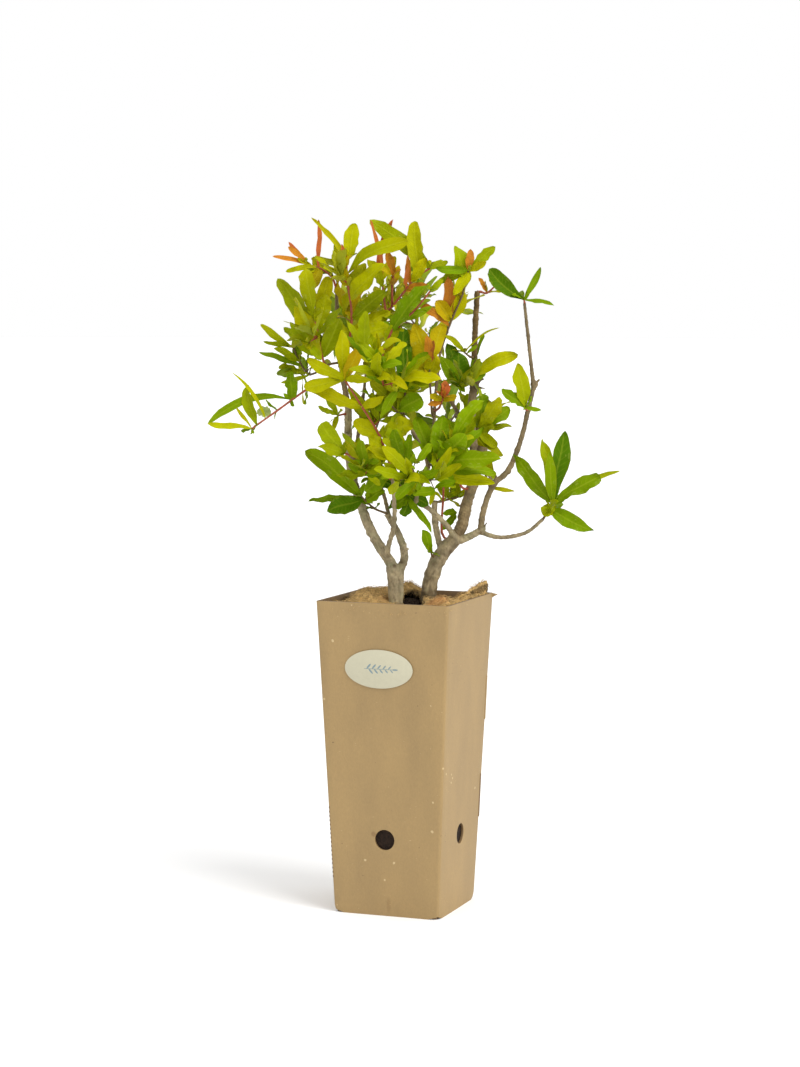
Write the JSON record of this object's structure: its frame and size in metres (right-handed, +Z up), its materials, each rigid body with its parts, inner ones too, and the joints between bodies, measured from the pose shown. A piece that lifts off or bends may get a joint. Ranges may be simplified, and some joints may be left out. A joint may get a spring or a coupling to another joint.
{
  "type": "potted pomegranate tree",
  "caption": "Young pomegranate tree with two trunks and an open, leafy crown, in a tall tapering kraft-card planter with vent holes and an oval label",
  "frame": {"origin": "centre of the planter's flat underside, at the mount base, on the surface that it stands on", "axes": "+Z is up, along the object's longest extent; -Y is the planter's labelled front; +X is to the right of it"},
  "size_m": [0.3059, 0.2578, 0.574],
  "materials": {
    "kraft_card": "matt kraft board with light and dark fibre flecks",
    "label_paper": "smooth cream paper",
    "soil": "moist dark potting mix",
    "coir": "rough coconut fibre",
    "bark_old": "grey-tan bark, matt",
    "bark_young": "brown young bark, matt",
    "leaf_green": "soft sheen, yellow-green leaf",
    "leaf_yellow": "soft sheen, yellow leaf",
    "leaf_deep": "soft sheen, deep green leaf",
    "leaf_orange": "soft sheen, orange and red young leaf"
  },
  "bodies": {
    "root": {"bough_back_left": "bark_young", "bough_back_right": "bark_young", "bough_centre": "bark_young", "bough_cross": "bark_old", "bough_cross_riser": "bark_young", "bough_far_right": "bark_old", "bough_front": "bark_old", "bough_inner": "bark_young", "bough_left": "bark_old", "bough_left_top": "bark_young", "bough_mid": "bark_old", "bough_mid_top": "bark_young", "bough_outer": "bark_old", "bough_outer_riser": "bark_young", "bough_outer_top": "bark_young", "bough_right": "bark_old", "bough_stub": "bark_old", "fibre_mat": "coir", "label": "label_paper", "leader_low": "bark_young", "leader_top": "bark_young", "leaves_back_left": "leaf_green", "leaves_back_low": "leaf_green", "leaves_back_mid": "leaf_green", "leaves_back_right": "leaf_deep", "leaves_bough_end": "leaf_yellow", "leaves_centre": "leaf_green", "leaves_centre_base": "leaf_deep", "leaves_centre_left": "leaf_yellow", "leaves_centre_low": "leaf_green", "leaves_centre_right": "leaf_green", "leaves_centre_top": "leaf_deep", "leaves_far_left": "leaf_green", "leaves_far_right": "leaf_green", "leaves_front_low": "leaf_green", "leaves_front_top": "leaf_green", "leaves_leader_mid": "leaf_green", "leaves_leader_top": "leaf_green", "leaves_left_fan": "leaf_green", "leaves_left_low": "leaf_green", "leaves_left_lower": "leaf_green", "leaves_left_spur": "leaf_green", "leaves_left_tuft": "leaf_green", "leaves_orange": "leaf_orange", "leaves_red_shoot": "leaf_deep", "leaves_right_cluster": "leaf_green", "leaves_right_low": "leaf_green", "leaves_right_top": "leaf_deep", "leaves_stub": "leaf_green", "leaves_top": "leaf_green", "leaves_top_left": "leaf_orange", "leaves_top_right": "leaf_green", "leaves_trunk": "leaf_green", "leaves_yellow": "leaf_yellow", "planter_bottom": "kraft_card", "planter_sleeve": "kraft_card", "root_ball": "soil", "trunk_left": "bark_old", "trunk_right": "bark_old"}
  },
  "joints": []
}
